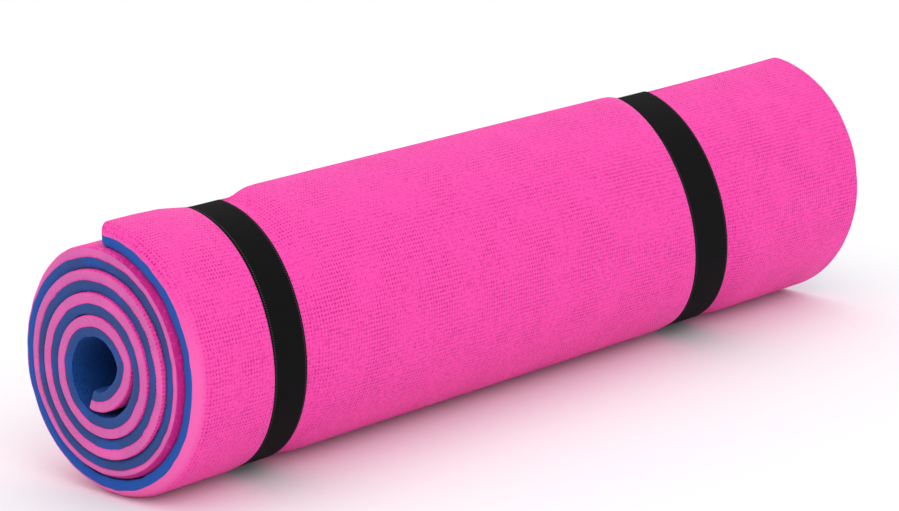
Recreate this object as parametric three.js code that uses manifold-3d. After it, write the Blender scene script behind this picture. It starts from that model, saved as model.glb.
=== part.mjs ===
// Rolled two-layer foam exercise mat held by two slanted elastic bands.
//
// Frame: +X runs along the roll's axis, +Z is up, millimetres. The origin is the centre of the
// bounding box's underside. The mat lies on a flattened strip along its lowest line.
// A place across the roll is given by turn, counted from the free edge at the top: the outer
// surface spirals inward by one pitch for each turn, clockwise as seen from the -X end.

import * as THREE from "three";
import { mergeVertices } from "three/addons/utils/BufferGeometryUtils.js";
import Module from "manifold-3d";

// ---- Driving dimensions, mm and degrees ------------------------------------------------------

const MAT_WIDTH = 500; // length of the roll, the mat's short side
const PINK_PLY = 4.7; // outer ply thickness
const BLUE_PLY = 4.7; // inner ply thickness
const CONTACT_GAP = 0.3; // gap between faces that touch
const OUTER_RADIUS = 67.6; // outer surface at the free edge
const SIDE_SQUEEZE = 0.95; // width across the roll over its height, from the bands' pull
const TURNS = 4.58; // turns from the free edge to the inner end
const FREE_EDGE_ANGLE = 1; // free edge's place, clockwise from straight up
const FLAP_RECESS = 5.5; // how far the free edge sits back from the inner end at the -X end
const RECESS_POWER = 2.5; // how quickly that recess fades inward from wrap to wrap
const TOP_SLACK = 0.045; // extra room that each wrap takes up along the top, as a share
const TONGUE_TURNS = 0.36; // straightened stretch at the inner end
const TONGUE_LIFT = 3.2; // how far that stretch rises off the wrap below it
const REST_FLAT_DEPTH = 0.5; // foam flattened away where the roll lies

const BAND_THICKNESS = 1.2;
const BAND_BITE = 2.2; // depth a tight band presses into the foam, away from the free edge
const EDGE_BITE_TURNS = 0.15; // turns over which the deeper bite at the free edge fades
const SEAM_OVERLAP = 22; // length of the sewn lap that closes the loop
const SEAM_ANGLE = 232; // place of the lap, clockwise from straight up
const TACK_THICKNESS = 0.5;
const TACK_WIDTH = 3; // width of the zigzag bar tack, along the webbing
const TACK_EDGE = 2; // distance of the tack's ends from the webbing's edges

// centre is the band's middle from the -X end; leanY and leanZ are its slant, mm of X per mm.
// edgeBite is how deep it presses the free edge's corner. The tighter band is stretched narrower.
const BANDS = [
  { name: "band_near", centre: 75.3, width: 21, edgeBite: 3.6, leanY: 0.193, leanZ: -0.06 },
  { name: "band_far", centre: 393.1, width: 27, edgeBite: 3.2, leanY: 0.298, leanZ: -0.185 },
];

const COLOURS = {
  pink: { color: "#f84fb4", roughness: 0.75, metalness: 0 },
  blue: { color: "#2a4f8f", roughness: 0.8, metalness: 0 },
  webbing: { color: "#101012", roughness: 0.9, metalness: 0 },
  thread: { color: "#1b1b1e", roughness: 0.8, metalness: 0 },
};

const STATIONS_PER_TURN = 30; // facets around one wrap
const BAND_STATIONS = 90; // facets around a band
const TURN_SLACK = 1e-6; // rounding allowed when a place is told from the wrap before it

// ---- Derived values --------------------------------------------------------------------------

const PITCH = PINK_PLY + CONTACT_GAP + BLUE_PLY + CONTACT_GAP;
const TOTAL_LENGTH = MAT_WIDTH + FLAP_RECESS;
const NEAR_END = -TOTAL_LENGTH / 2;
const FREE_EDGE = THREE.MathUtils.degToRad(FREE_EDGE_ANGLE);
const HALF_TURN = Math.PI;
const BOTTOM_TURN = (HALF_TURN - FREE_EDGE) / (2 * Math.PI);
const AXIS_HEIGHT = OUTER_RADIUS - PITCH * BOTTOM_TURN - REST_FLAT_DEPTH;

const wasm = await Module();
wasm.setup();

// ---- The roll's spiral -----------------------------------------------------------------------

/** Angle of a place on the spiral, radians clockwise from straight up. */
function angleAt(turn) {
  return FREE_EDGE + turn * 2 * Math.PI;
}

/** How much the wraps spread at an angle: most at the top, where they hang loosest. */
function spreadAt(angle) {
  return 1 + (TOP_SLACK * (1 + Math.cos(angle))) / 2;
}

/** Lift of the straightened inner end off the wrap beneath it. */
function tongueLift(turn) {
  const along = (turn - (TURNS - TONGUE_TURNS)) / TONGUE_TURNS;
  return along > 0 ? TONGUE_LIFT * Math.sin(Math.PI * Math.min(along, 1)) : 0;
}

/** Point across the roll at a turn, depth mm under the mat's outer surface, from the axis. */
function sectionPoint(turn, depth) {
  const angle = angleAt(turn);
  const radius = OUTER_RADIUS - (PITCH * turn + depth) * spreadAt(angle) - tongueLift(turn);
  return new THREE.Vector2(-SIDE_SQUEEZE * radius * Math.sin(angle), radius * Math.cos(angle));
}

/** How far a place on the spiral is set back from the -X end. */
function recessAt(turn) {
  return FLAP_RECESS * Math.max(0, 1 - turn / TURNS) ** RECESS_POWER;
}

/** Turn of a point across the roll, found from its angle and its radius. */
function turnOf(y, z) {
  const across = y / SIDE_SQUEEZE;
  const angle = Math.atan2(-across, z);
  const fraction = (angle - FREE_EDGE) / (2 * Math.PI);
  const within = THREE.MathUtils.euclideanModulo(fraction + TURN_SLACK, 1) - TURN_SLACK;
  const middle = (OUTER_RADIUS - Math.hypot(across, z)) / (PITCH * spreadAt(angle)) - 1 / 2;
  return within + Math.max(0, Math.round(middle - within));
}

// ---- Solids ----------------------------------------------------------------------------------

/** Extrude an outline across the roll along +X, from start over a length. */
function extrudeAlong(shape, start, length) {
  const geometry = new THREE.ExtrudeGeometry(shape, { depth: length, bevelEnabled: false });
  // The outline is drawn in (Y, Z); its extrusion is turned from Z onto X.
  geometry.applyMatrix4(new THREE.Matrix4().set(0, 0, 1, start, 1, 0, 0, 0, 0, 1, 0, 0, 0, 0, 0, 1));
  return geometry;
}

/** Move each vertex of a geometry by a function of its position. */
function displace(geometry, move) {
  const position = geometry.attributes.position;
  const vertex = new THREE.Vector3();
  for (let i = 0; i < position.count; i += 1) {
    vertex.fromBufferAttribute(position, i);
    move(vertex);
    position.setXYZ(i, vertex.x, vertex.y, vertex.z);
  }
  return geometry;
}

/** Turn a closed geometry into a solid for cutting and joining. */
function toSolid(geometry) {
  const bare = geometry.clone();
  bare.deleteAttribute("normal");
  bare.deleteAttribute("uv");
  const merged = mergeVertices(bare, 1e-4);
  const vertProperties = Float32Array.from(merged.attributes.position.array);
  const triVerts = Uint32Array.from(merged.index.array);
  return new wasm.Manifold(new wasm.Mesh({ numProp: 3, vertProperties, triVerts }));
}

/** Turn a solid back into a geometry. */
function toGeometry(solid) {
  const mesh = solid.getMesh();
  const geometry = new THREE.BufferGeometry();
  geometry.setAttribute("position", new THREE.BufferAttribute(mesh.vertProperties, 3));
  geometry.setIndex(new THREE.BufferAttribute(mesh.triVerts, 1));
  geometry.computeVertexNormals();
  return geometry;
}

/** One ply of the rolled mat, between two depths under the mat's outer surface. */
function plySolid(topDepth, bottomDepth) {
  const stations = Math.round(TURNS * STATIONS_PER_TURN);
  const outline = [];
  for (let i = 0; i <= stations; i += 1) outline.push(sectionPoint((TURNS * i) / stations, topDepth));
  for (let i = stations; i >= 0; i -= 1) outline.push(sectionPoint((TURNS * i) / stations, bottomDepth));
  const geometry = extrudeAlong(new THREE.Shape(outline), NEAR_END, MAT_WIDTH);
  return toSolid(displace(geometry, (vertex) => {
    vertex.x += recessAt(turnOf(vertex.y, vertex.z));
  }));
}

// ---- Bands -----------------------------------------------------------------------------------

/** Depth that a band presses into the outermost wrap at a turn. */
function biteAt(band, turn) {
  const fade = THREE.MathUtils.smoothstep(turn, 0, EDGE_BITE_TURNS);
  return band.edgeBite + (BAND_BITE - band.edgeBite) * fade;
}

/** Place on a tight loop round the roll whose outward direction is angle, standing off it. */
function loopPoint(band, angle, standOff) {
  const outward = new THREE.Vector2(-Math.sin(angle), Math.cos(angle));
  let best = null;
  for (let i = 0; i <= BAND_STATIONS; i += 1) {
    const turn = i / BAND_STATIONS;
    const point = sectionPoint(turn, biteAt(band, turn));
    if (best === null || point.dot(outward) > best.dot(outward)) best = point;
  }
  return best.addScaledVector(outward, standOff);
}

/** Points of a stretch of the loop, from one angle to another, radians. */
function loopStretch(band, from, to, standOff) {
  const points = [];
  const count = Math.max(2, Math.ceil((BAND_STATIONS * Math.abs(to - from)) / (2 * Math.PI)));
  for (let i = 0; i <= count; i += 1) {
    const point = loopPoint(band, from + ((to - from) * i) / count, standOff);
    const last = points[points.length - 1];
    if (!last || last.distanceTo(point) > CONTACT_GAP) points.push(point);
  }
  return points;
}

/** Closed ring outline between two distances off the loop. */
function ringShape(band, inner, outer) {
  const outerPoints = loopStretch(band, 0, 2 * Math.PI, outer).slice(0, -1);
  const innerPoints = loopStretch(band, 0, 2 * Math.PI, inner).slice(0, -1);
  const shape = new THREE.Shape(outerPoints);
  shape.holes.push(new THREE.Path(innerPoints));
  return shape;
}

/** Slant a geometry that was extruded along X, as its band leans. */
function lean(geometry, band) {
  return displace(geometry, (vertex) => {
    vertex.x += band.leanY * vertex.y + band.leanZ * vertex.z;
  });
}

/** Groove that a band presses into the foam. */
function grooveSolid(band) {
  const width = band.width + 2 * CONTACT_GAP;
  const shape = ringShape(band, 0, BAND_BITE + PITCH);
  const start = NEAR_END + band.centre - width / 2;
  return toSolid(lean(extrudeAlong(shape, start, width), band));
}

/** The elastic loop with its sewn lap, one strip of webbing. */
function bandSolid(band) {
  const start = NEAR_END + band.centre - band.width / 2;
  const outer = CONTACT_GAP + BAND_THICKNESS;
  const ringOutline = ringShape(band, CONTACT_GAP, outer);
  const ring = toSolid(lean(extrudeAlong(ringOutline, start, band.width), band));
  const seam = seamSpan();
  const lapOutline = [
    ...loopStretch(band, seam.from, seam.to, outer + BAND_THICKNESS),
    ...loopStretch(band, seam.to, seam.from, outer - BAND_THICKNESS / 2),
  ];
  const lap = toSolid(lean(extrudeAlong(new THREE.Shape(lapOutline), start, band.width), band));
  return ring.add(lap);
}

/** Angles where the lap starts and ends. */
function seamSpan() {
  const middle = THREE.MathUtils.degToRad(SEAM_ANGLE);
  const half = SEAM_OVERLAP / 2 / AXIS_HEIGHT;
  return { from: middle - half, to: middle + half };
}

/** Zigzag bar tack across the lap, as the thin bar of thread that it builds up. */
function tackGeometry(band) {
  const seam = seamSpan();
  const middle = (seam.from + seam.to) / 2;
  const lapTop = CONTACT_GAP + 2 * BAND_THICKNESS + CONTACT_GAP;
  const base = loopPoint(band, middle, lapTop + TACK_THICKNESS / 2);
  const geometry = new THREE.BoxGeometry(band.width - 2 * TACK_EDGE, TACK_WIDTH, TACK_THICKNESS);
  geometry.rotateX(middle);
  geometry.translate(NEAR_END + band.centre, base.x, base.y);
  return lean(geometry, band);
}

// ---- Assembly --------------------------------------------------------------------------------

/** Named mesh with its finish. */
function piece(name, geometry, finish) {
  const mesh = new THREE.Mesh(geometry, new THREE.MeshStandardMaterial(finish));
  mesh.name = name;
  return mesh;
}

/** Everything below the floor line under the roll, cut away as the resting flat. */
function floorSolid() {
  const span = 2 * OUTER_RADIUS;
  const block = new THREE.BoxGeometry(TOTAL_LENGTH + span, span, span);
  block.translate(0, 0, -AXIS_HEIGHT - span / 2);
  return toSolid(block);
}

const mat = new THREE.Group();

let pinkSolid = plySolid(0, PINK_PLY).subtract(floorSolid());
for (const band of BANDS) pinkSolid = pinkSolid.subtract(grooveSolid(band));
mat.add(piece("pink_ply", toGeometry(pinkSolid), COLOURS.pink));

const blueTop = PINK_PLY + CONTACT_GAP;
mat.add(piece("blue_ply", toGeometry(plySolid(blueTop, blueTop + BLUE_PLY)), COLOURS.blue));

for (const band of BANDS) {
  mat.add(piece(band.name, toGeometry(bandSolid(band)), COLOURS.webbing));
  mat.add(piece(`${band.name}_stitching`, tackGeometry(band), COLOURS.thread));
}

// The pieces are made about the roll's axis; the group stands them on the centre of their base.
const extent = new THREE.Box3().setFromObject(mat);
const middle = extent.getCenter(new THREE.Vector3());
mat.position.set(-middle.x, -middle.y, -extent.min.z);

export default mat;
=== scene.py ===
"""A two-layer foam exercise mat, rolled and held by two slanted elastic bands.

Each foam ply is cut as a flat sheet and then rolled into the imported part's spiral. Each band is a
flat strip of webbing wrapped round the roll until its ends overlap, and the overlap is sewn down.
"""

import logging
import math
from dataclasses import dataclass, field
from enum import Enum
from typing import Any

import bpy
import numpy as np
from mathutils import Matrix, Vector


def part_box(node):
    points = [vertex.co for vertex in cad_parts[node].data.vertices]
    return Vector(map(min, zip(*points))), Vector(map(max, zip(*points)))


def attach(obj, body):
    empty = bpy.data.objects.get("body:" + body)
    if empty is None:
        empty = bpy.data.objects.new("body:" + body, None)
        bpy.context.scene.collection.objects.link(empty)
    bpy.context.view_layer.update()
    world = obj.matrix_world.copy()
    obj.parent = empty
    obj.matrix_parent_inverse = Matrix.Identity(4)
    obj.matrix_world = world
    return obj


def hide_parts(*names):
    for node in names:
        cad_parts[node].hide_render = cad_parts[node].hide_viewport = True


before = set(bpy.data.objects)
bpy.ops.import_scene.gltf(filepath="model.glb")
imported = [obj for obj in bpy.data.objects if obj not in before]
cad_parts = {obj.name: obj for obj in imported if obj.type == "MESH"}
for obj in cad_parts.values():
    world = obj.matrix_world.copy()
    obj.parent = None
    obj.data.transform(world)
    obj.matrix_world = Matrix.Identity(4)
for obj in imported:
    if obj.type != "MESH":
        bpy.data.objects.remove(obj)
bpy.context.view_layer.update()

LOG = logging.getLogger("rolled_mat")
MM = 0.001
FULL_TURN = 2 * math.pi
SHEET_UV = "sheet_uv"
FACE = "cut_face"
# Pale rim on the outermost wrap: wear, and a painted highlight on its rounded edge.
RIM_WEAR_AND_HIGHLIGHT = "rim_wear_and_highlight"
# Skin pressed smooth under the flap's edge, also darkened there as painted shade in the gap.
PRESSED_AND_SHADED = "pressed_and_shaded"
SEED = 11


# ---- Small helpers ----------------------------------------------------------------------------


def smoothstep(value: np.ndarray, low: float, high: float) -> np.ndarray:
    """Smooth rise from 0 at low to 1 at high."""
    share = np.clip((value - low) / (high - low), 0.0, 1.0)
    return share * share * (3 - 2 * share)


def linear_colour(hex_code: str) -> tuple[float, float, float, float]:
    """Turn an sRGB hex colour into linear RGBA.

    Args:
        hex_code: Colour such as "#ff8800".

    Returns:
        Linear red, green, blue and an alpha of 1.
    """
    channels = [int(hex_code[i : i + 2], 16) / 255 for i in (1, 3, 5)]
    linear = [c / 12.92 if c <= 0.04045 else ((c + 0.055) / 1.055) ** 2.4 for c in channels]
    return (linear[0], linear[1], linear[2], 1.0)


def wander(place: np.ndarray, step: float, channel: int) -> np.ndarray:
    """Smooth seeded wander between -1 and 1 along a line.

    Args:
        place: Positions along the line, metres.
        step: Distance between one swing and the next, metres.
        channel: Number that picks an independent wander.

    Returns:
        One value for each position.
    """
    knots = np.random.default_rng(SEED + channel).uniform(-1, 1, 4096)
    cell = place / step
    low = np.floor(cell).astype(int)
    share = cell - low
    share = share * share * (3 - 2 * share)
    return knots[low % 4096] * (1 - share) + knots[(low + 1) % 4096] * share


def deselect_all() -> None:
    """Leave edit mode and deselect every object."""
    if bpy.context.mode != "OBJECT":
        bpy.ops.object.mode_set(mode="OBJECT")
    bpy.ops.object.select_all(action="DESELECT")


def vertex_places(piece: bpy.types.Object) -> np.ndarray:
    """Every vertex of a piece, one row each."""
    places = np.empty(len(piece.data.vertices) * 3)
    piece.data.vertices.foreach_get("co", places)
    return places.reshape(-1, 3)


def move_vertices(piece: bpy.types.Object, places: np.ndarray) -> None:
    """Put every vertex of a piece at a new place."""
    piece.data.vertices.foreach_set("co", places.astype(np.float32).ravel())
    piece.data.update()


def face_outward(piece: bpy.types.Object) -> None:
    """Merge doubles and turn every face of a closed piece outward.

    Args:
        piece: Closed piece, shaded smooth over its gentler angles.
    """
    deselect_all()
    bpy.context.view_layer.objects.active = piece
    piece.select_set(True)
    bpy.ops.object.mode_set(mode="EDIT")
    bpy.ops.mesh.select_all(action="SELECT")
    bpy.ops.mesh.remove_doubles(threshold=1e-6)
    bpy.ops.mesh.normals_make_consistent(inside=False)
    bpy.ops.object.mode_set(mode="OBJECT")
    bpy.ops.object.shade_smooth_by_angle(angle=math.radians(50))
    piece.select_set(False)


def store_point_value(piece: bpy.types.Object, name: str, values: np.ndarray) -> None:
    """Keep one number for each vertex, for a material to read."""
    attribute = piece.data.attributes.new(name, "FLOAT", "POINT")
    attribute.data.foreach_set("value", values.astype(np.float32))


def store_sheet_uv(piece: bpy.types.Object, along: np.ndarray, across: np.ndarray) -> None:
    """Keep each vertex's place on the flat sheet as the piece's UV map.

    Args:
        piece: Piece that gets the map.
        along: Distance along the sheet of each vertex, metres.
        across: Distance across the sheet of each vertex, metres.
    """
    layer = piece.data.uv_layers.new(name=SHEET_UV)
    corners = np.empty(len(piece.data.loops), dtype=np.int64)
    piece.data.loops.foreach_get("vertex_index", corners)
    pairs = np.stack([along[corners], across[corners]], axis=1)
    layer.data.foreach_set("uv", pairs.astype(np.float32).ravel())


@dataclass
class FlatSheet:
    """A closed flat sheet on a grid of columns, rows and rings, ready to be shaped.

    Attributes:
        name: Name of the Blender object.
        columns: Number of grid lines across the sheet.
        rows: Number of grid lines along the sheet.
        rings: Number of lines around its cut edge, from the upper face to the lower.
    """

    name: str
    columns: int
    rows: int
    rings: int

    def cut(self) -> bpy.types.Object:
        """Add a grid primitive and extrude it into a closed sheet, one unit for each ring."""
        deselect_all()
        bpy.ops.mesh.primitive_grid_add(
            x_subdivisions=self.columns - 1, y_subdivisions=self.rows - 1, size=1
        )
        piece = bpy.context.active_object
        piece.name = self.name
        places = vertex_places(piece)
        places[:, 0] = np.round((places[:, 0] + 0.5) * (self.columns - 1))
        places[:, 1] = np.round((places[:, 1] + 0.5) * (self.rows - 1))
        move_vertices(piece, places)
        bpy.ops.object.mode_set(mode="EDIT")
        bpy.ops.mesh.select_all(action="SELECT")
        for _ in range(self.rings - 1):
            bpy.ops.mesh.extrude_region_move(TRANSFORM_OT_translate={"value": (0, 0, -1)})
        bpy.ops.object.mode_set(mode="OBJECT")
        return piece

    def lattice(self, piece: bpy.types.Object) -> tuple[np.ndarray, np.ndarray, np.ndarray]:
        """Column, row and ring number of every vertex of the cut sheet."""
        numbers = np.round(vertex_places(piece)).astype(int)
        return numbers[:, 0], numbers[:, 1], -numbers[:, 2]


# ---- The roll's spiral ------------------------------------------------------------------------


@dataclass(frozen=True)
class BandPlace:
    """Where a band crosses the roll and how hard it holds.

    Attributes:
        centre: Middle of the band from the -X end.
        width: Width of the stretched webbing.
        edge_bite: Depth that it presses the free edge's corner in.
        lean_y: Slant along X for each metre across the roll.
        lean_z: Slant along X for each metre of height.
        flare: Distance over which the flap recovers between the band and the roll's nearer end.
    """

    centre: float
    width: float
    edge_bite: float
    lean_y: float
    lean_z: float
    flare: float

    def shift(self, y: np.ndarray, z: np.ndarray) -> np.ndarray:
        """How far the slant moves the band along X, for places across the roll."""
        return self.lean_y * y + self.lean_z * z


@dataclass(frozen=True)
class RollShape:
    """The spiral that the mat lies on, in metres, about the roll's own axis."""

    mat_width: float = 500 * MM
    ply_thickness: float = 4.85 * MM
    mat_thickness: float = 9.7 * MM
    pitch: float = 10.0 * MM
    outer_radius: float = 67 * MM
    side_squeeze: float = 0.95
    turns: float = 4.58
    free_edge: float = math.radians(1)
    skew_near: float = math.radians(-5.5)
    skew_far: float = math.radians(3)
    swell_far: float = 1.6 * MM
    flap_recess: float = 5.5 * MM
    recess_power: float = 2.5
    top_slack: float = 0.045
    tongue_turns: float = 0.36
    tongue_lift: float = 3.2 * MM
    rest_flat: float = 0.5 * MM
    band_bite: float = 2.2 * MM
    edge_bite_turns: float = 0.15
    bands: tuple[BandPlace, ...] = (
        BandPlace(75.3 * MM, 21 * MM, 4.4 * MM, 0.193, -0.06, 30 * MM),
        BandPlace(393.1 * MM, 27 * MM, 3.7 * MM, 0.298, -0.185, 140 * MM),
    )

    @property
    def near_end(self) -> float:
        """X of the roll's -X end."""
        return -(self.mat_width + self.flap_recess) / 2

    @property
    def axis_height(self) -> float:
        """Height of the axis over the floor."""
        bottom_turn = (math.pi - self.free_edge) / FULL_TURN
        return self.outer_radius - self.pitch * bottom_turn - self.rest_flat

    @property
    def axis_y(self) -> float:
        """Y of the axis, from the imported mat's box and the spiral's own width."""
        low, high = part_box("pink_ply")
        y, _ = self.point(np.linspace(0, 1, 721), 0.0)
        return (low[1] + high[1]) / 2 - (y.min() + y.max()) / 2

    def askew(self, place_x: np.ndarray | float) -> tuple[Any, Any]:
        """Extra angle and extra radius of the spiral at a place along the roll.

        Args:
            place_x: Distance from the -X end. The mat was rolled a little askew, so its spiral
                turns and loosens towards the other end.

        Returns:
            Extra angle, and extra radius that also lifts the axis, so that the roll still rests.
        """
        share = place_x / self.mat_width
        return self.skew_near + (self.skew_far - self.skew_near) * share, self.swell_far * share

    def point(
        self,
        turn: np.ndarray,
        depth: np.ndarray | float,
        askew: tuple[Any, Any] = (0.0, 0.0),
    ) -> tuple[np.ndarray, np.ndarray]:
        """Place across the roll of a point of the mat.

        Args:
            turn: Turns from the free edge.
            depth: Depth under the mat's outer surface.
            askew: Extra angle and extra radius from rolling askew.

        Returns:
            Y and Z from the roll's axis.
        """
        level = self.free_edge + turn * FULL_TURN
        spread = 1 + self.top_slack * (1 + np.cos(level)) / 2
        along = np.clip((turn - (self.turns - self.tongue_turns)) / self.tongue_turns, 0, 1)
        lift = self.tongue_lift * np.sin(math.pi * along)
        skew, swell = askew
        radius = self.outer_radius + swell - (self.pitch * turn + depth) * spread - lift
        angle = level + skew
        return -self.side_squeeze * radius * np.sin(angle), radius * np.cos(angle) + swell

    def recess(self, turn: np.ndarray) -> np.ndarray:
        """How far a place on the spiral is set back from the -X end."""
        return self.flap_recess * np.maximum(0, 1 - turn / self.turns) ** self.recess_power

    def length_table(self) -> tuple[np.ndarray, np.ndarray]:
        """Matching lists of turn and of length along the mat's middle, from the free edge."""
        turn = np.linspace(0, self.turns, 4001)
        y, z = self.point(turn, self.mat_thickness / 2)
        steps = np.hypot(np.diff(y), np.diff(z))
        return turn, np.concatenate([[0.0], np.cumsum(steps)])

    def tight_loop(
        self, band: BandPlace, stand_off: float, samples: int = 720
    ) -> tuple[np.ndarray, np.ndarray]:
        """A tight loop round the outline that a band bites into the roll, standing off it.

        Args:
            band: The band.
            stand_off: Distance outside the bitten outline, metres.
            samples: Number of directions round the loop.

        Returns:
            Points of the loop from the axis, and the outward direction at each, one row each.
        """
        turn = np.linspace(0, 1, samples + 1)
        fade = smoothstep(turn, 0, self.edge_bite_turns)
        bite = band.edge_bite + (self.band_bite - band.edge_bite) * fade
        y, z = self.point(turn, bite, self.askew(band.centre))
        outline = np.stack([y, z], axis=1)
        angle = np.linspace(0, FULL_TURN, samples, endpoint=False)
        outward = np.stack([-np.sin(angle), np.cos(angle)], axis=1)
        touching = outline[np.argmax(outline @ outward.T, axis=0)]
        return touching + stand_off * outward, outward

    def loop_radius(
        self, band: BandPlace, y: np.ndarray, z: np.ndarray, stand_off: float
    ) -> np.ndarray:
        """Distance from the axis to a band's tight loop, in the direction of each place.

        Args:
            band: The band.
            y: Y of each place from the axis.
            z: Z of each place from the axis.
            stand_off: Distance of the loop outside the bitten outline, metres.

        Returns:
            One distance for each place.
        """
        corners, _ = self.tight_loop(band, stand_off)
        closed = np.vstack([corners, corners[:1]])
        step = np.concatenate([[0.0], np.cumsum(np.hypot(*np.diff(closed, axis=0).T) + 1e-9)])
        evenly = np.linspace(0, step[-1], 4000, endpoint=False)
        points = np.stack([np.interp(evenly, step, closed[:, k]) for k in (0, 1)], axis=1)
        around = np.mod(np.arctan2(-points[:, 0], points[:, 1]), FULL_TURN)
        order = np.argsort(around)
        reach = np.hypot(points[:, 0], points[:, 1])[order]
        return np.interp(np.mod(np.arctan2(-y, z), FULL_TURN), around[order], reach, period=FULL_TURN)


# ---- Finishes ---------------------------------------------------------------------------------


def add_node(
    tree: bpy.types.NodeTree, kind: str, inputs: dict[Any, Any] | None = None, **settings: Any
) -> bpy.types.Node:
    """Add one shader node.

    Args:
        tree: Node tree that gets the node.
        kind: Blender's type name of the node.
        inputs: Value, or the socket to link from, for each input name or number.
        settings: Properties of the node itself.

    Returns:
        The new node.
    """
    node = tree.nodes.new(kind)
    for name, value in settings.items():
        setattr(node, name, value)
    for socket, value in (inputs or {}).items():
        if isinstance(value, bpy.types.NodeSocket):
            tree.links.new(value, node.inputs[socket])
        else:
            node.inputs[socket].default_value = value
    return node


def compute(
    tree: bpy.types.NodeTree, operation: str, *values: Any, **settings: Any
) -> bpy.types.NodeSocket:
    """Do one sum on numbers or sockets.

    Args:
        tree: Node tree that gets the node.
        operation: Blender's name of the sum.
        values: Numbers or sockets, in the order that the sum takes them.
        settings: Properties of the node itself.

    Returns:
        Socket with the result.
    """
    inputs = dict(enumerate(values))
    node = add_node(tree, "ShaderNodeMath", inputs, operation=operation, **settings)
    return node.outputs["Value"]


def remap(
    tree: bpy.types.NodeTree,
    value: bpy.types.NodeSocket,
    source: tuple[float, float],
    target: tuple[float, float] = (0.0, 1.0),
    **settings: Any,
) -> bpy.types.NodeSocket:
    """Map one range of values onto another, held within it.

    Args:
        tree: Node tree that gets the node.
        value: Socket with the values.
        source: Ends of the range that is read.
        target: Ends of the range that comes out.
        settings: Properties of the node itself.

    Returns:
        Socket with the mapped values.
    """
    inputs = {"Value": value, "From Min": source[0], "From Max": source[1]}
    inputs |= {"To Min": target[0], "To Max": target[1]}
    return add_node(tree, "ShaderNodeMapRange", inputs, **settings).outputs["Result"]


def noise(
    tree: bpy.types.NodeTree,
    place: bpy.types.NodeSocket,
    size: float,
    detail: float,
    roughness: float = 0.5,
) -> bpy.types.Node:
    """Add a noise texture.

    Args:
        tree: Node tree that gets the node.
        place: Socket with the position in metres.
        size: Size of its patches, metres.
        detail: Number of finer layers.
        roughness: Strength of those layers.

    Returns:
        The noise node.
    """
    inputs = {"Vector": place, "Scale": 1 / size, "Detail": detail, "Roughness": roughness}
    return add_node(tree, "ShaderNodeTexNoise", inputs)


def blend(
    tree: bpy.types.NodeTree,
    factor: bpy.types.NodeSocket,
    low: bpy.types.NodeSocket | str,
    high: bpy.types.NodeSocket | str,
) -> bpy.types.NodeSocket:
    """Blend two colours, each a socket or a hex code.

    Args:
        tree: Node tree that gets the node.
        factor: Socket with the share of the second colour.
        low: First colour.
        high: Second colour.

    Returns:
        Socket with the blended colour.
    """
    low, high = (linear_colour(end) if isinstance(end, str) else end for end in (low, high))
    inputs = {"Factor": factor, 6: low, 7: high}
    return add_node(tree, "ShaderNodeMix", inputs, data_type="RGBA").outputs[2]


def read_value(tree: bpy.types.NodeTree, name: str) -> bpy.types.NodeSocket:
    """Socket with a number that the piece keeps for each vertex."""
    return add_node(tree, "ShaderNodeAttribute", attribute_name=name).outputs["Fac"]


def new_material(name: str) -> tuple[bpy.types.Material, bpy.types.NodeTree]:
    """An empty node material and its tree."""
    material = bpy.data.materials.new(name)
    material.use_nodes = True
    material.node_tree.nodes.clear()
    return material, material.node_tree


def finish_surface(tree: bpy.types.NodeTree, inputs: dict[str, Any]) -> None:
    """Close a material with a Principled shader and its output."""
    shader = add_node(tree, "ShaderNodeBsdfPrincipled", inputs)
    add_node(tree, "ShaderNodeOutputMaterial", {"Surface": shader.outputs["BSDF"]})


class FoamFace(Enum):
    """Kinds of surface on a foam sheet, kept as the value of its face attribute."""

    SKIN = 0.0
    CUT = 1.0


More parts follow.
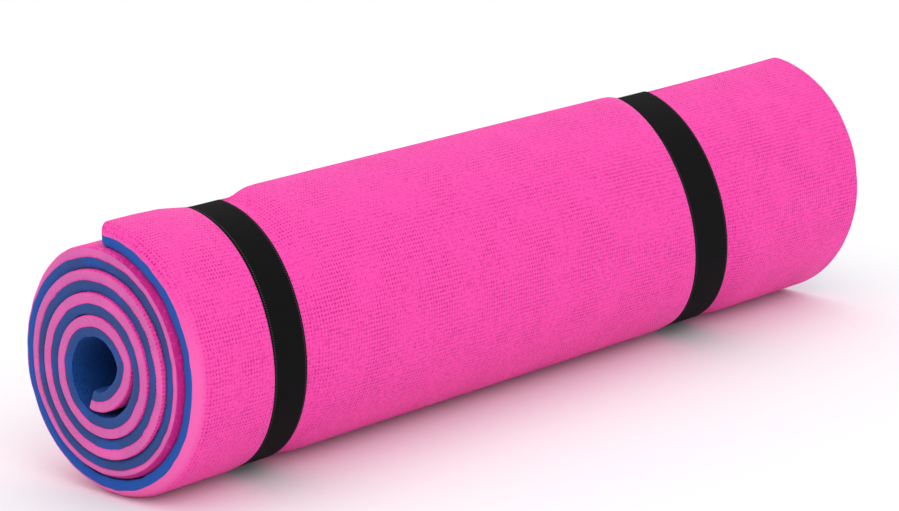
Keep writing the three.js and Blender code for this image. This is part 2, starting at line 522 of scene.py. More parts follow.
@dataclass(frozen=True)
class EmbossedFoam:
    """Closed-cell NBR foam, calendered between rollers that emboss a fine square waffle.

    The skin shows rows of small pits, coloured darker as painted shade in the pits, softly lit
    between, and the knife-cut edge shows paler, matt, open cells. The outermost rim is painted
    pale, partly as wear and partly as a painted highlight on its rounded edge, and just under
    the flap's edge the skin is pressed smooth and painted darker as painted shade in the gap.
    """

    name: str
    skin: str
    # Colour of the pits and of random darker tone: painted shade in the pits and under the flap's
    # edge.
    pit: str
    cut: str
    cut_shade: str
    # Rim colour: wear with a painted highlight on the rounded rim, and the full colour of the cut's
    # smears.
    rim: str
    pit_pitch: float = 1.8 * MM
    pit_depth: float = 0.3 * MM
    pit_waver: float = 0.5 * MM
    cell_size: float = 0.9 * MM
    grain_size: float = 0.6 * MM
    mottle_size: float = 1.6 * MM
    drag_size: float = 16 * MM
    roughness: float = 0.65
    specular: float = 0.2
    sheen: float = 0.04

    def material(self) -> bpy.types.Material:
        """Build the foam's node material."""
        material, tree = new_material(self.name)
        sheet = add_node(tree, "ShaderNodeUVMap", uv_map=SHEET_UV).outputs["UV"]
        place = add_node(tree, "ShaderNodeTexCoord").outputs["Object"]
        face, wear_and_painted_light, pressed_and_shaded = (read_value(tree, name) for name in (FACE, RIM_WEAR_AND_HIGHLIGHT, PRESSED_AND_SHADED))
        pits = self._pits(tree, sheet, compute(tree, "ADD", wear_and_painted_light, pressed_and_shaded))
        cells = noise(tree, place, self.cell_size, 4.0, 0.65).outputs["Fac"]
        mottle = noise(tree, place, self.mottle_size, 3.0, 0.6).outputs["Fac"]
        tone = remap(tree, mottle, (0.3, 0.7), (-0.35, 0.45))
        # Random tone plus the painted shade in the gap under the flap's edge.
        tone_and_flap_shade = compute(tree, "ADD", tone, pressed_and_shaded)
        # Mix the skin toward the pit colour: painted shade in the pits and in the gap under the flap,
        # plus random tone.
        shade = compute(tree, "ADD", pits, tone_and_flap_shade, use_clamp=True)
        skin = blend(tree, shade, self.skin, self.pit)
        cut = blend(tree, cells, self.cut, self.cut_shade)
        smeared = blend(tree, self._smears(tree, place), cut, self.rim)
        # Painted highlight and wear on the outermost rim, in the rim colour.
        colour = blend(tree, wear_and_painted_light, blend(tree, face, skin, smeared), self.rim)
        finish_surface(
            tree,
            {
                "Base Color": colour,
                "Roughness": self.roughness,
                "Specular IOR Level": self.specular,
                "Sheen Weight": self.sheen,
                "Sheen Roughness": 0.5,
                "Normal": self._relief(tree, pits, cells, face, place),
            },
        )
        return material

    def _pits(
        self,
        tree: bpy.types.NodeTree,
        sheet: bpy.types.NodeSocket,
        wear_and_painted_light: bpy.types.NodeSocket,
    ) -> bpy.types.NodeSocket:
        """Strength of the embossed pits, 1 at the middle of a pit.

        Args:
            tree: Node tree of the foam.
            sheet: Socket with the place on the flat sheet.
            wear_and_painted_light: Socket that is 1 where the skin is worn or pressed smooth,
            which is also where the rim's painted highlight and the painted shade under the
            flap lie.

        Returns:
            Socket with the pits' strength, uneven where the rollers pressed less.
        """
        waver = noise(tree, sheet, 6 * MM, 1.0).outputs["Color"]
        nudge = add_node(
            tree,
            "ShaderNodeVectorMath",
            {0: waver, 1: (self.pit_waver,) * 3, 2: sheet},
            operation="MULTIPLY_ADD",
        )
        phase = add_node(
            tree,
            "ShaderNodeVectorMath",
            {0: nudge.outputs["Vector"], "Scale": FULL_TURN / self.pit_pitch},
            operation="SCALE",
        )
        axes = add_node(tree, "ShaderNodeSeparateXYZ", {0: phase.outputs["Vector"]}).outputs
        rows = [compute(tree, "COSINE", axes[axis]) for axis in ("X", "Y")]
        crossing = compute(tree, "ADD", *rows)
        pit = remap(tree, crossing, (0.2, 2.0), interpolation_type="SMOOTHSTEP")
        rolled = noise(tree, sheet, 22 * MM, 4.0).outputs["Fac"]
        evenness = remap(tree, rolled, (0.35, 0.65), (0.3, 1.0))
        patchy = compute(tree, "MULTIPLY", pit, evenness)
        pits_kept = compute(tree, "SUBTRACT", 1.0, wear_and_painted_light, use_clamp=True)
        return compute(tree, "MULTIPLY", patchy, pits_kept)

    def _smears(self, tree: bpy.types.NodeTree, place: bpy.types.NodeSocket) -> bpy.types.NodeSocket:
        """Strength of the patches where the knife dragged the cut closed and its colour is full."""
        drag = noise(tree, place, self.drag_size, 2.0).outputs["Fac"]
        return remap(tree, drag, (0.5, 0.72), (0.0, 0.7))

    def _relief(
        self,
        tree: bpy.types.NodeTree,
        pits: bpy.types.NodeSocket,
        cells: bpy.types.NodeSocket,
        face: bpy.types.NodeSocket,
        place: bpy.types.NodeSocket,
    ) -> bpy.types.NodeSocket:
        """Bump of the skin's pits and grain, and of the cut edge's cells.

        Args:
            tree: Node tree of the foam.
            pits: Socket with the pits' strength.
            cells: Socket with the cells' strength.
            face: Socket that is 0 on the skin and 1 on a cut edge.
            place: Socket with the object coordinates.

        Returns:
            Socket with the bumped normal.
        """
        grain = noise(tree, place, self.grain_size, 2.0).outputs["Fac"]
        skin = compute(tree, "SUBTRACT", compute(tree, "MULTIPLY", grain, 0.25), pits)
        height = add_node(tree, "ShaderNodeMix", {"Factor": face, 2: skin, 3: cells}).outputs[0]
        inputs = {"Height": height, "Strength": 0.8, "Distance": self.pit_depth}
        return add_node(tree, "ShaderNodeBump", inputs).outputs["Normal"]


@dataclass(frozen=True)
class ElasticWebbing:
    """Woven polyester over rubber, as flat elastic.

    Lengthwise rubber cords show as fine soft ribs, the weft crosses them as a finer grain, and
    the turns of the weft catch the light as a row of dots just inside each selvedge.
    """

    name: str
    width: float
    yarn: str = "#060607"
    lit_yarn: str = "#0e0f11"
    selvedge: str = "#40443f"
    rib_pitch: float = 1.0 * MM
    weft_pitch: float = 0.7 * MM
    loop_pitch: float = 1.15 * MM
    loop_inset: float = 1.0 * MM
    fluff_size: float = 1.5 * MM
    relief: float = 0.12 * MM

    def material(self) -> bpy.types.Material:
        """Build the webbing's node material."""
        material, tree = new_material(self.name)
        sheet = add_node(tree, "ShaderNodeUVMap", uv_map=SHEET_UV).outputs["UV"]
        axes = add_node(tree, "ShaderNodeSeparateXYZ", {0: sheet})
        along, across = axes.outputs["X"], axes.outputs["Y"]
        ribs = self._wave(tree, across, self.rib_pitch)
        weft = self._wave(tree, along, self.weft_pitch)
        weave = compute(tree, "MULTIPLY_ADD", weft, 0.4, ribs)
        fluff = noise(tree, sheet, self.fluff_size, 4.0).outputs["Fac"]
        lit = compute(tree, "MULTIPLY", weave, fluff, use_clamp=True)
        dots = self._dots(tree, across, self._wave(tree, along, self.loop_pitch))
        body = blend(tree, lit, self.yarn, self.lit_yarn)
        height = compute(tree, "MULTIPLY_ADD", dots, 1.5, weave)
        inputs = {"Height": height, "Strength": 0.7, "Distance": self.relief}
        bump = add_node(tree, "ShaderNodeBump", inputs)
        finish_surface(
            tree,
            {
                "Base Color": blend(tree, dots, body, self.selvedge),
                "Roughness": 0.8,
                "Specular IOR Level": 0.08,
                "Normal": bump.outputs["Normal"],
            },
        )
        return material

    def _wave(
        self, tree: bpy.types.NodeTree, place: bpy.types.NodeSocket, pitch: float
    ) -> bpy.types.NodeSocket:
        """Smooth wave from 0 to 1 along one direction of the strip."""
        wave = compute(tree, "COSINE", compute(tree, "MULTIPLY", place, FULL_TURN / pitch))
        return compute(tree, "MULTIPLY_ADD", wave, 0.5, 0.5)

    def _dots(
        self,
        tree: bpy.types.NodeTree,
        across: bpy.types.NodeSocket,
        loops: bpy.types.NodeSocket,
    ) -> bpy.types.NodeSocket:
        """The weft's turns, a row of dots just inside each selvedge.

        Args:
            tree: Node tree of the webbing.
            across: Socket with the distance across the strip from its middle.
            loops: Socket with the wave of the turns along the strip.

        Returns:
            Socket that is 1 on a dot.
        """
        side = compute(tree, "ABSOLUTE", across)
        off = compute(tree, "SUBTRACT", side, self.width / 2 - self.loop_inset)
        away = compute(tree, "ABSOLUTE", off)
        soft = {"interpolation_type": "SMOOTHSTEP"}
        row = remap(tree, away, (0.25 * MM, 0.5 * MM), (1.0, 0.0), **soft)
        crest = remap(tree, loops, (0.55, 0.85), **soft)
        return compute(tree, "MULTIPLY", row, crest)


@dataclass(frozen=True)
class SewingThread:
    """Spun polyester thread, whose twist shows as slanting lines with a faint sheen."""

    name: str = "spun_polyester_thread"
    fibre: str = "#16171a"
    lit_fibre: str = "#34383c"
    twist_pitch: float = 0.5 * MM
    relief: float = 0.08 * MM

    def material(self) -> bpy.types.Material:
        """Build the thread's node material."""
        material, tree = new_material(self.name)
        place = add_node(tree, "ShaderNodeTexCoord").outputs["Object"]
        twist = add_node(
            tree,
            "ShaderNodeTexWave",
            {"Vector": place, "Scale": 1 / (20 * self.twist_pitch), "Distortion": 1.5},
            bands_direction="DIAGONAL",
        ).outputs["Fac"]
        inputs = {"Height": twist, "Strength": 0.5, "Distance": self.relief}
        bump = add_node(tree, "ShaderNodeBump", inputs)
        finish_surface(
            tree,
            {
                "Base Color": blend(tree, twist, self.fibre, self.lit_fibre),
                "Roughness": 0.55,
                "Sheen Weight": 0.3,
                "Normal": bump.outputs["Normal"],
            },
        )
        return material


# ---- The mat ----------------------------------------------------------------------------------


class PlySide(Enum):
    """Which of the mat's two plies a sheet is, by the depth of its upper face in plies."""

    OUTER = 0
    INNER = 1


@dataclass
class RolledPly:
    """One ply of the mat, cut flat and rolled up.

    Attributes:
        name: Name of the piece.
        node: CAD node that it stands for.
        slot: Material slot of the record; not used.
        side: Which ply it is.
        finish: Its foam.
        roll: Spiral that it lies on.
    """

    name: str
    node: str
    slot: str
    side: PlySide
    finish: EmbossedFoam
    roll: RollShape
    row_step: float = 2.0 * MM
    edge_round: float = 0.5 * MM
    second_round: float = 5.0 * MM
    flap_round: float = 5.5 * MM
    rim_round: float = 8.0 * MM
    rim_drop: float = 4.6 * MM
    far_rim: float = 1.2 * MM
    corner_round: float = 6.0 * MM
    other_corner_round: float = 3.0 * MM
    bond_round: float = 0.12 * MM
    dent_run: float = 15.0 * MM
    edge_wander: float = 0.3 * MM
    gap_wander: float = 0.5 * MM
    bond_wander: float = 0.24 * MM
    cut_reach: float = 18 * MM
    band_clearance: float = 0.25 * MM
    slant_reach: tuple[float, float] = (26 * MM, 80 * MM)
    body: str = "mat"
    piece: bpy.types.Object | None = field(default=None, repr=False)

    ROUND_RINGS = 8
    FACE_RINGS = 4

    def build(self) -> None:
        """Cut the flat sheet, roll it up and keep what its finish reads."""
        across = self._columns()
        along = self._rows()
        rings = self.ROUND_RINGS + self.FACE_RINGS
        sheet = FlatSheet(self.name, len(across), len(along), rings)
        self.piece = sheet.cut()
        column, row, ring = sheet.lattice(self.piece)
        place_x, place_s, depth, edge = self._flat_place(across, along, column, row, ring)
        rolled = self._roll_up(place_x, place_s, depth, edge)
        move_vertices(self.piece, rolled)
        store_sheet_uv(self.piece, place_s, rolled[:, 0] - self.roll.near_end)
        is_face = (ring >= self.ROUND_RINGS - 1) & (ring < rings - 1)
        cut = np.where(is_face, FoamFace.CUT.value, FoamFace.SKIN.value)
        store_point_value(self.piece, FACE, cut)
        store_point_value(self.piece, RIM_WEAR_AND_HIGHLIGHT, self._rim_wear_and_highlight(place_x, place_s))
        store_point_value(self.piece, PRESSED_AND_SHADED, self._pressed_and_shaded(place_x, place_s))
        face_outward(self.piece)

    def dress(self) -> None:
        """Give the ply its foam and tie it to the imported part."""
        self.piece.data.materials.append(self.finish.material())
        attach(self.piece, self.body)
        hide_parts(self.node)

    def _columns(self) -> np.ndarray:
        """Grid lines across the mat, close together beside the bands and at the ends."""
        width = self.roll.mat_width
        near_lines = [0.0, 8.8, 10.0, 12.0, 15.0, 19.0]
        far_lines = [0.0, 2.0, 3.4, 5.5, 9.0, 15.0]
        places = {line * MM for line in near_lines} | {width - line * MM for line in far_lines}
        if self.side is PlySide.OUTER:
            steps = np.array([-2.0, -0.3, 0.9, 2.2, 4.0, 6.0, 8.5, 12.0, 17.0, 24.0]) * MM
            for band in self.roll.bands:
                reach = np.concatenate([[0.0], band.width / 2 + steps])
                places |= {band.centre + sign * step for step in reach for sign in (-1, 1)}
        places |= set(np.arange(135, 340, 18) * MM) | {24 * MM, width - 40 * MM}
        kept = np.array(sorted(places))
        apart = np.concatenate([[True], np.diff(kept) > 0.5 * MM])
        return kept[apart]

    def _rows(self) -> np.ndarray:
        """Grid lines along the mat, from the free edge to the inner end."""
        total = self.roll.length_table()[1][-1]
        lines = np.array([0.0, 1.0, 2.2, 3.6]) * MM
        middle = np.arange(lines[-1] + self.row_step, total - lines[-1] - 1 * MM, self.row_step)
        return np.concatenate([lines, middle, (total - lines)[::-1]])

    def _turn(self, place_s: np.ndarray) -> np.ndarray:
        """Turn of a place along the mat."""
        turn, length = self.roll.length_table()
        return np.interp(place_s, length, turn)

    def _flat_place(
        self,
        across: np.ndarray,
        along: np.ndarray,
        column: np.ndarray,
        row: np.ndarray,
        ring: np.ndarray,
    ) -> tuple[np.ndarray, np.ndarray, np.ndarray, np.ndarray]:
        """Place of each vertex on the flat ply, with its edges rounded.

        Args:
            across: Grid lines across the mat.
            along: Grid lines along the mat.
            column: Column number of each vertex.
            row: Row number of each vertex.
            ring: Ring number of each vertex, 0 on the upper face.

        Returns:
            Place across, place along, depth under the upper face, and whether the vertex is on
            the ply's edge.
        """
        thickness = self.roll.ply_thickness
        place_x, place_s = across[column].copy(), along[row].copy()
        last_column, last_row = len(across) - 1, len(along) - 1
        at_side = (column == 0) | (column == last_column)
        at_end = (row == 0) | (row == last_row)
        is_outer = self.side is PlySide.OUTER
        rim, drop = self._rim_size(place_s, column == 0)
        top_round = self.edge_round if is_outer else self.bond_round
        low_round = self.bond_round if is_outer else self.edge_round
        last_ring = self.ROUND_RINGS + self.FACE_RINGS - 1
        level = np.clip(ring / (self.ROUND_RINGS - 1), 0, 1)
        swing = level * math.pi / 2
        side_reach = np.maximum(top_round, rim)
        side_drop = np.maximum(top_round, drop)
        side_inset = side_reach * (1 - (level + np.sin(swing)) / 2)
        end_inset = top_round * 2 * (1 - np.sin(swing))
        face_share = np.clip((ring - (self.ROUND_RINGS - 1)) / self.FACE_RINGS, 0, 1)
        rounded = np.where(
            at_side, side_drop * (level + 1 - np.cos(swing)) / 2, top_round * (1 - np.cos(swing))
        )
        depth = rounded + (thickness - low_round - rounded) * face_share
        is_edge = at_side | at_end
        depth = np.where(is_edge, depth, np.where(ring == 0, 0.0, thickness))
        depth = np.where(is_edge & (ring == last_ring), thickness, depth)
        side_inset = np.where(ring == last_ring, low_round, side_inset)
        end_inset = np.where(ring == last_ring, low_round, end_inset)
        place_x += side_inset * ((column == 0) * 1.0 - (column == last_column))
        place_s += end_inset * ((row == 0) * 1.0 - (row == last_row))
        place_x, place_s = self._round_corners(place_x, place_s, along[-1])
        return place_x, place_s, depth, is_edge

    def _round_corners(
        self, place_x: np.ndarray, place_s: np.ndarray, total: float
    ) -> tuple[np.ndarray, np.ndarray]:
        """Round the flat sheet's four corners in plan.

        Args:
            place_x: Place across the mat.
            place_s: Place along the mat.
            total: Length of the mat.

        Returns:
            The two places with the corners drawn in.
        """
        at_flap = (place_s < total / 2) & (place_x < self.roll.mat_width / 2)
        reach = np.where(at_flap, self.corner_round, self.other_corner_round)
        from_x = np.minimum(place_x, self.roll.mat_width - place_x)
        from_s = np.minimum(place_s, total - place_s)
        inside_x = np.clip(1 - from_x / reach, 0, 1)
        inside_s = np.clip(1 - from_s / reach, 0, 1)
        span = np.hypot(inside_x, inside_s)
        scale = np.where(span > 0, np.maximum(inside_x, inside_s) / np.maximum(span, 1e-9), 1.0)
        shift_x = reach * inside_x * (1 - scale)
        shift_s = reach * inside_s * (1 - scale)
        toward_x = np.where(place_x < self.roll.mat_width / 2, 1, -1)
        toward_s = np.where(place_s < total / 2, 1, -1)
        return place_x + toward_x * shift_x, place_s + toward_s * shift_s

    def _outermost(self, place_s: np.ndarray) -> np.ndarray:
        """1 on the outermost wrap, falling to 0 just before the free edge comes round."""
        return 1 - smoothstep(self._turn(place_s), 0.8, 0.98)

    def _rim_size(
        self, place_s: np.ndarray, is_near: np.ndarray
    ) -> tuple[np.ndarray, np.ndarray]:
        """Inset and drop of the rounded rim, large where nothing holds the foam's edge square.

        Args:
            place_s: Place along the mat.
            is_near: Whether each vertex is at the -X end.

        Returns:
            Inset of the rim from the mat's end, and its drop under the upper face.
        """
        if self.side is PlySide.INNER:
            return np.zeros_like(place_s), np.zeros_like(place_s)
        outermost = self._outermost(place_s)
        turn = self._turn(place_s)
        wide = self.flap_round + (self.rim_round - self.flap_round) * smoothstep(turn, 0.1, 0.3)
        eased = 0.35 + 0.65 * smoothstep(turn, 1.0, 1.12)
        second = self.second_round * eased * (1 - smoothstep(turn, 1.4, 2.1))
        inset = wide * outermost + second * (1 - outermost)
        drop = self.rim_drop * outermost + 0.5 * second * (1 - outermost)
        return np.where(is_near, inset, self.far_rim), np.where(is_near, drop, self.far_rim)

    def _rim_wear_and_highlight(self, place_x: np.ndarray, place_s: np.ndarray) -> np.ndarray:
        """How worn the outermost wrap's rim is, with its painted highlight.

        Args:
            place_x: Place across the mat.
            place_s: Place along the mat.

        Returns:
            Wear and painted highlight, from 0 to 1.
        """
        turn = self._turn(place_s)
        width = self.rim_round * 0.85
        near = 1 - smoothstep(place_x, 0.3 * width, width)
        # On the outer ply the painted highlight lies only from a little past the free edge round
        # towards the front, where the rim faces the lights.
        facing = smoothstep(turn, 0.1, 0.28) if self.side is PlySide.OUTER else 1.0
        return near * facing * self._outermost(place_s)

    def _pressed_and_shaded(self, place_x: np.ndarray, place_s: np.ndarray) -> np.ndarray:
        """Skin under the flap's edge: how far it is pressed flat and painted with shade, 0 to 1."""
        turn = self._turn(place_s)
        under_flap = smoothstep(turn, 0.98, 1.1) * (1 - smoothstep(turn, 1.6, 2.0))
        return under_flap * (1 - smoothstep(place_x, 6 * MM, 9 * MM))

    def _roll_up(
        self, place_x: np.ndarray, place_s: np.ndarray, depth: np.ndarray, edge: np.ndarray
    ) -> np.ndarray:
        """Roll the flat ply into the spiral and press the bands' dents into it.

        Args:
            place_x: Place across the mat.
            place_s: Place along the mat.
            depth: Depth under the ply's upper face.
            edge: Whether each vertex is on the ply's edge.

        Returns:
            Place of each vertex in the part's frame.
        """
        roll = self.roll
        turn = self._turn(place_s)
        share = depth / roll.ply_thickness
        top = self.side.value * roll.ply_thickness
        from_end = np.minimum(place_x, roll.mat_width - place_x)
        at_cut = 1 - smoothstep(from_end, 0, self.cut_reach)
        bond = self.bond_wander * wander(place_s, 5 * MM, 1) * at_cut
        if self.side is PlySide.OUTER:
            uneven = bond * share
        else:
            loose = np.clip(wander(place_s, 9 * MM, 2) + 0.5 * wander(place_s, 3.5 * MM, 3), 0, 1)
            uneven = bond * (1 - share) - self.gap_wander * loose * share * at_cut
        y, z = roll.point(turn, top + depth + uneven, roll.askew(place_x))
        if self.side is PlySide.OUTER:
            y, z = self._press_dents(place_x, turn, share, y, z)
        swing = 0.6 * wander(place_s, 13 * MM, 4) + 0.4 * wander(place_s, 4 * MM, 5 + self.side.value)
        ragged = np.where(edge, self.edge_wander * swing, 0.0)
        sign = np.where(place_x < roll.mat_width / 2, 1, -1)
        x = roll.near_end + roll.recess(turn) + place_x + sign * (ragged + self.edge_wander)
        x += self._follow_bands(place_x, y, z)
        height = np.maximum(z + roll.axis_height, 0.0)
        return np.stack([x, y + roll.axis_y, height], axis=1)

    def _press_dents(
        self,
        place_x: np.ndarray,
        turn: np.ndarray,
        share: np.ndarray,
        y: np.ndarray,
        z: np.ndarray,
    ) -> tuple[np.ndarray, np.ndarray]:
        """Press the skin of the outermost wrap down to the bands' inner faces.

        Args:
            place_x: Place across the mat.
            turn: Turns from the free edge.
            share: Depth under the ply's upper face, as a share of its thickness.
            y: Y from the roll's axis.
            z: Z from the roll's axis.

        Returns:
            Y and Z of the pressed skin.
        """
        reach = np.hypot(y, z)
        width = self.roll.mat_width
        at_flap = 1 - smoothstep(turn, 0.05, 0.3)
        sunk = np.zeros_like(reach)
        for band in self.roll.bands:
            target = self.roll.loop_radius(band, y, z, self.band_clearance)
            excess = np.maximum(reach - target, 0) * (turn < 1.0)
            outside = np.sign(place_x - band.centre) == np.sign(band.centre - width / 2)
            off = np.maximum(np.abs(place_x - band.centre) - band.width / 2, 0)
            short = np.clip(1 - off / self.dent_run, 0, 1) ** 2
            flared = np.clip(1 - off / band.flare, 0, 1) ** 1.3
            press = np.where(outside, short + (flared - short) * at_flap, short)
            sunk = np.maximum(sunk, excess * press)
        scale = 1 - sunk * (1 - share) / reach
        return y * scale, z * scale

    def _follow_bands(self, place_x: np.ndarray, y: np.ndarray, z: np.ndarray) -> np.ndarray:
        """Slant the grid lines beside each band so that they run along it.

        Args:
            place_x: Place across the mat.
            y: Y from the roll's axis.
            z: Z from the roll's axis.

        Returns:
            Shift of each place along X.
        """
        slant = np.zeros_like(place_x)
        for band in self.roll.bands:
            room = min(band.centre, self.roll.mat_width - band.centre)
            away = np.abs(place_x - band.centre)
            low, high = self.slant_reach
            hold = 1 - smoothstep(away, low, min(room - 3 * MM, high))
            slant += hold * band.shift(y, z)
        return slant


# ---- The bands --------------------------------------------------------------------------------


@dataclass
class BandLoop:
    """The line that a band follows round the roll, measured along its length.

    Attributes:
        roll: Spiral that it holds.
        place: Where the band crosses the roll.
        thickness: Thickness of the webbing.
        seam_angle: Place of the sewn lap, clockwise from straight up.
        seam_length: Length of the lap.
    """

    roll: RollShape
    place: BandPlace
    thickness: float = 1.2 * MM
    clearance: float = 0.3 * MM
    seam_angle: float = math.radians(232)
    seam_length: float = 22 * MM

    def __post_init__(self) -> None:
        """Measure the loop, starting from the lap's near end."""
        points, outward = self.roll.tight_loop(self.place, 0.0, samples=1440)
        start = int(round(self.seam_angle / FULL_TURN * len(points)))
        points = np.roll(points, -start, axis=0)
        outward = np.roll(outward, -start, axis=0)
        closed = np.vstack([points, points[:1]])
        steps = np.hypot(*np.diff(closed, axis=0).T) + 1e-9
        self._length = np.concatenate([[0.0], np.cumsum(steps)])
        self._points = closed
        self._outward = np.vstack([outward, outward[:1]])

    @property
    def around(self) -> float:
        """Length once round the loop."""
        return float(self._length[-1])

    def wrap(self, along: np.ndarray, across: np.ndarray, off: np.ndarray) -> np.ndarray:
        """Place a flat strip on the loop.

        Args:
            along: Distance along the strip from the middle of the lap.
            across: Distance across the strip from its middle.
            off: Distance outside the bitten outline.

        Returns:
            Place of each point in the part's frame.
        """
        travelled = np.mod(along, self.around)
        base = [np.interp(travelled, self._length, self._points[:, k]) for k in (0, 1)]
        outward = [np.interp(travelled, self._length, self._outward[:, k]) for k in (0, 1)]
        size = np.hypot(*outward)
        y = base[0] + off * outward[0] / size
        z = base[1] + off * outward[1] / size
        x = self.roll.near_end + self.place.centre + across + self.place.shift(y, z)
        return np.stack([x, y + self.roll.axis_y, z + self.roll.axis_height], axis=1)


@dataclass
class ElasticBand:
    """A strip of elastic webbing, wrapped round the roll with its ends lapped.

    Attributes:
        name: Name of the piece.
        node: CAD node that it stands for.
        body: Body that it rides on.
        loop: Line that it follows.
        finish: Its webbing.
    """

    name: str
    node: str
    body: str
    loop: BandLoop
    finish: ElasticWebbing
    row_step: float = 1.6 * MM
    edge_thin: float = 0.25 * MM
    lap_rise: float = 5 * MM
    piece: bpy.types.Object | None = field(default=None, repr=False)

    RINGS = 5

    def build(self) -> None:
        """Cut the strip, wrap it and keep what its finish reads."""
        half = self.loop.place.width / 2
        steps = np.array([0.0, 0.25, 0.7, 1.4, 2.4, 4.0, 6.5, 9.0])
        across = np.concatenate([-half + steps * MM, [0.0], (half - steps * MM)[::-1]])
        total = self.loop.around + self.loop.seam_length
        rows = int(total / self.row_step)
        along = np.linspace(0, total, rows) - self.loop.seam_length / 2
        sheet = FlatSheet(self.name, len(across), rows, self.RINGS)
        self.piece = sheet.cut()
        column, row, ring = sheet.lattice(self.piece)
        place_v, place_u = across[column].copy(), along[row].copy()
        is_edge = (column == 0) | (column == len(across) - 1) | (row == 0) | (row == rows - 1)
        swing = ring / (self.RINGS - 1) * math.pi
        bulge = np.where(is_edge, np.sin(swing), 0) * self.edge_thin
        place_v += np.where(column == 0, -bulge, np.where(column == len(across) - 1, bulge, 0))
        place_u += np.where(row == 0, -bulge, np.where(row == rows - 1, bulge, 0))
        thin = self.edge_thin * (1 - smoothstep(half - np.abs(across[column]), 0, 1.2 * MM))
        level = (1 + np.cos(swing)) / 2
        off = level * (self.loop.thickness - 2 * thin) + thin + self.loop.clearance
        off += self._lap_lift(place_u)
        store_sheet_uv(self.piece, place_u, place_v)
        move_vertices(self.piece, self.loop.wrap(place_u, place_v, off))
        face_outward(self.piece)

    def _lap_lift(self, place_u: np.ndarray) -> np.ndarray:
        """Rise of the strip's outer end over its inner end."""
        start = self.loop.around - self.loop.seam_length / 2
        rise = smoothstep(place_u, start - self.lap_rise, start)
        return rise * (self.loop.thickness + 0.03 * MM)

    def dress(self) -> None:
        """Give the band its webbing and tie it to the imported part."""
        self.piece.data.materials.append(self.finish.material())
        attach(self.piece, self.body)
        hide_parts(self.node)


@dataclass
class BarTack:
    """The zigzag of thread that closes a band's lap.

    Attributes:
        name: Name of the piece.
        node: CAD node that it stands for.
        body: Body that it rides on.
        loop: Line that the band follows.
        finish: Its thread.
    """

    name: str
    node: str
    body: str
    loop: BandLoop
    finish: SewingThread
    from_edge: float = 2 * MM
    zigzag: float = 3 * MM
    stitch_step: float = 0.9 * MM
    thread_radius: float = 0.24 * MM
    piece: bpy.types.Object | None = field(default=None, repr=False)

    def build(self) -> None:
        """Sew the zigzag flat, then bend it round the lap."""
        reach = self.loop.place.width / 2 - self.from_edge
        count = int(2 * reach / self.stitch_step)
        stitch = self._stitch()
        sewn = []
        for i in range(count):
            side = 1 if i % 2 else -1
            start = Vector((-side * self.zigzag / 2, -reach + i * self.stitch_step, 0))
            stop = Vector((side * self.zigzag / 2, -reach + (i + 1) * self.stitch_step, 0))
            sewn.append(self._sew(stitch, start, stop))
        deselect_all()
        for one in sewn:
            one.select_set(True)
        bpy.data.objects.remove(stitch, do_unlink=True)
        self.piece = sewn[0]
        self.piece.name = self.name
        bpy.context.view_layer.objects.active = self.piece
        bpy.ops.object.join()
        bpy.ops.object.transform_apply(location=True, rotation=True, scale=True)
        flat = vertex_places(self.piece)
        off = self.loop.clearance + 2 * self.loop.thickness + flat[:, 2]
        move_vertices(self.piece, self.loop.wrap(flat[:, 0], flat[:, 1], off))
        face_outward(self.piece)

    def _stitch(self) -> bpy.types.Object:
        """One stitch, a pulled length of thread that dives into the webbing at both ends."""
        deselect_all()
        bpy.ops.mesh.primitive_uv_sphere_add(segments=10, ring_count=9, radius=1)
        stitch = bpy.context.active_object
        places = vertex_places(stitch)
        span = places[:, 2] * (math.hypot(self.zigzag, self.stitch_step) / 2 + 0.1 * MM)
        girth = places[:, :2] * self.thread_radius
        sag = 0.35 * MM * places[:, 2] ** 4
        move_vertices(stitch, np.stack([span, girth[:, 0], girth[:, 1] + 0.15 * MM - sag], axis=1))
        return stitch

    def _sew(self, stitch: bpy.types.Object, start: Vector, stop: Vector) -> bpy.types.Object:
        """Lay a copy of the stitch between two needle holes, flat on the lap.

        Args:
            stitch: Stitch to copy.
            start: First needle hole.
            stop: Second needle hole.

        Returns:
            The copy.
        """
        line = stop - start
        one = stitch.copy()
        one.data = stitch.data.copy()
        one.location = (start + stop) / 2
        one.rotation_euler = (0, 0, math.atan2(line.y, line.x))
        bpy.context.scene.collection.objects.link(one)
        return one

    def dress(self) -> None:
        """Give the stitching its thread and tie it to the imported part."""
        self.piece.data.materials.append(self.finish.material())
        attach(self.piece, self.body)
        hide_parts(self.node)


# ---- Studio -----------------------------------------------------------------------------------


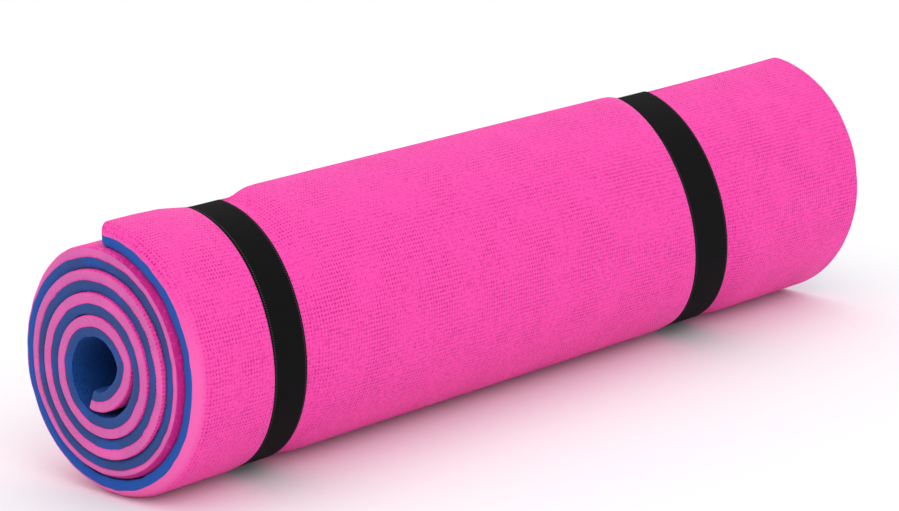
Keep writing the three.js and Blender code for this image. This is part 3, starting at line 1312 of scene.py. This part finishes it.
@dataclass
class Studio:
    """Pale floor, soft light and the camera."""

    floor_colour: str = "#f4f4f5"
    floor_size: float = 12.0
    camera_place: tuple[float, float, float] = (-1.26165, -1.1131, 0.5096)
    camera_aim: tuple[float, float, float] = (-0.0133, 0.00235, 0.06823)
    lens: float = 138.0
    world_strength: float = 1.0

    def build(self) -> None:
        """Lay the floor, light it and place the camera."""
        self._lay_floor()
        self._soft_box("key", (-1.0, -1.8, 2.0), 1.6, 12)
        self._soft_box("top", (0.3, 0.2, 2.6), 2.2, 7)
        self._light_room()
        self._place_camera()
        bpy.context.scene.view_settings.view_transform = "Standard"

    def _lay_floor(self) -> None:
        """A wide plain floor, not part of the object."""
        deselect_all()
        bpy.ops.mesh.primitive_plane_add(size=self.floor_size, location=(0, 0, 0))
        floor = bpy.context.active_object
        floor.name = "studio_floor"
        material, tree = new_material("matt_paper")
        finish_surface(tree, {"Base Color": linear_colour(self.floor_colour), "Roughness": 0.9})
        floor.data.materials.append(material)

    def _soft_box(
        self, name: str, place: tuple[float, float, float], size: float, power: float
    ) -> None:
        """A square area light aimed at the roll.

        Args:
            name: Name of the light.
            place: Its place, metres.
            size: Its side, metres.
            power: Its power, watts.
        """
        deselect_all()
        bpy.ops.object.light_add(type="AREA", location=place)
        lamp = bpy.context.active_object
        lamp.name = f"soft_box_{name}"
        lamp.data.size = size
        lamp.data.energy = power
        aim = Vector((0, 0, 0.06)) - Vector(place)
        lamp.rotation_euler = aim.to_track_quat("-Z", "Y").to_euler()

    def _light_room(self) -> None:
        """An even white surround."""
        world = bpy.data.worlds.new("studio_surround")
        world.use_nodes = True
        surround = world.node_tree.nodes["Background"]
        surround.inputs["Color"].default_value = (1.0, 1.0, 1.0, 1.0)
        surround.inputs["Strength"].default_value = self.world_strength
        bpy.context.scene.world = world

    def _place_camera(self) -> None:
        """The camera, level and unshifted."""
        deselect_all()
        bpy.ops.object.camera_add(location=self.camera_place)
        camera = bpy.context.active_object
        aim = Vector(self.camera_aim) - Vector(self.camera_place)
        camera.rotation_euler = aim.to_track_quat("-Z", "Y").to_euler()
        camera.data.lens = self.lens
        camera.data.sensor_width = 36
        camera.data.dof.use_dof = False
        bpy.context.scene.camera = camera


# ---- Assembly ---------------------------------------------------------------------------------


# In both foams, pit is painted shade in the pits and under the flap's edge, and rim is the worn rim
# with a painted highlight, also used for the cut's smears.
PINK_FOAM = EmbossedFoam(
    name="pink_nbr_foam",
    skin="#f544a8",
    pit="#b8107a",
    cut="#e070b6",
    cut_shade="#bd4c95",
    rim="#f062b0",
)
BLUE_FOAM = EmbossedFoam(
    name="blue_nbr_foam",
    skin="#154c96",
    pit="#08275a",
    cut="#234b88",
    cut_shade="#283a74",
    rim="#114fa6",
    pit_depth=0.25 * MM,
)


def main() -> None:
    """Build every piece in order, then the studio."""
    logging.basicConfig(level=logging.INFO, format="%(name)s: %(message)s")
    roll = RollShape()
    parts: list[Any] = [
        RolledPly("pink_outer_ply", "pink_ply", "pink_foam", PlySide.OUTER, PINK_FOAM, roll),
        RolledPly("blue_inner_ply", "blue_ply", "blue_foam", PlySide.INNER, BLUE_FOAM, roll),
    ]
    thread = SewingThread()
    for end, place in zip(("near", "far"), roll.bands):
        loop = BandLoop(roll, place)
        node, body = f"band_{end}", f"{end}_loop"
        webbing = ElasticWebbing(f"{end}_woven_elastic", place.width)
        parts.append(ElasticBand(f"{end}_elastic_band", node, body, loop, webbing))
        parts.append(BarTack(f"{end}_bar_tack", f"{node}_stitching", body, loop, thread))
    for part in parts:
        part.build()
        part.dress()
        LOG.info("%s: %d faces", part.name, len(part.piece.data.polygons))
    Studio().build()


if __name__ == "__main__":
    main()
